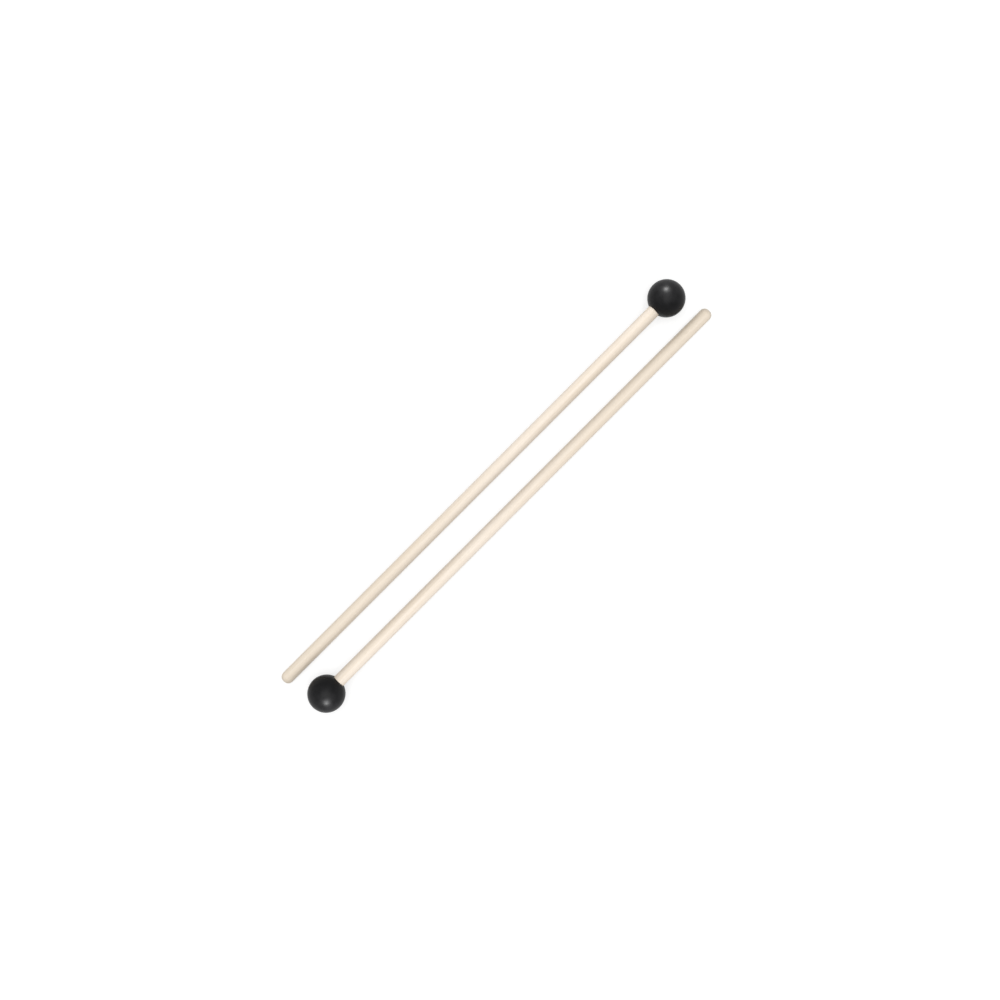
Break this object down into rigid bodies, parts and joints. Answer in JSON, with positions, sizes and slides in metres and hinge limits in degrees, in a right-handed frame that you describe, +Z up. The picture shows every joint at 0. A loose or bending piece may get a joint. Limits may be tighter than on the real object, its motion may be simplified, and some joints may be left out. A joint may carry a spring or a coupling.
{
  "type": "xylophone mallet pair",
  "caption": "Matched xylophone mallets lying head to tail: a black ball of hard rubber glued on the end of a straight pale wooden dowel with a domed butt, for striking tuned bars.",
  "frame": {"origin": "middle of the pair on the surface it lies on, under the centre of its box", "axes": "+X runs along the pair, the way mallet_a's head points; +Y runs across it, from mallet_b to mallet_a; +Z is up"},
  "size_m": [0.3776, 0.0514, 0.0254],
  "materials": {
    "wood": "pale fine-grained hardwood, sanded, thin satin lacquer",
    "hard_rubber": "black hard rubber, satin",
    "adhesive": "clear amber adhesive, cured"
  },
  "bodies": {
    "mallet_a": {"mallet_a_shaft": "wood", "mallet_a_head": "hard_rubber", "mallet_a_glue": "adhesive"},
    "mallet_b": {"mallet_b_shaft": "wood", "mallet_b_head": "hard_rubber", "mallet_b_glue": "adhesive"}
  },
  "joints": [
    {"name": "mallet_b_lift", "type": "slide", "parent": "mallet_a", "child": "mallet_b", "axis": [0, 0, 1], "range_m": [0, 0.12]}
  ]
}
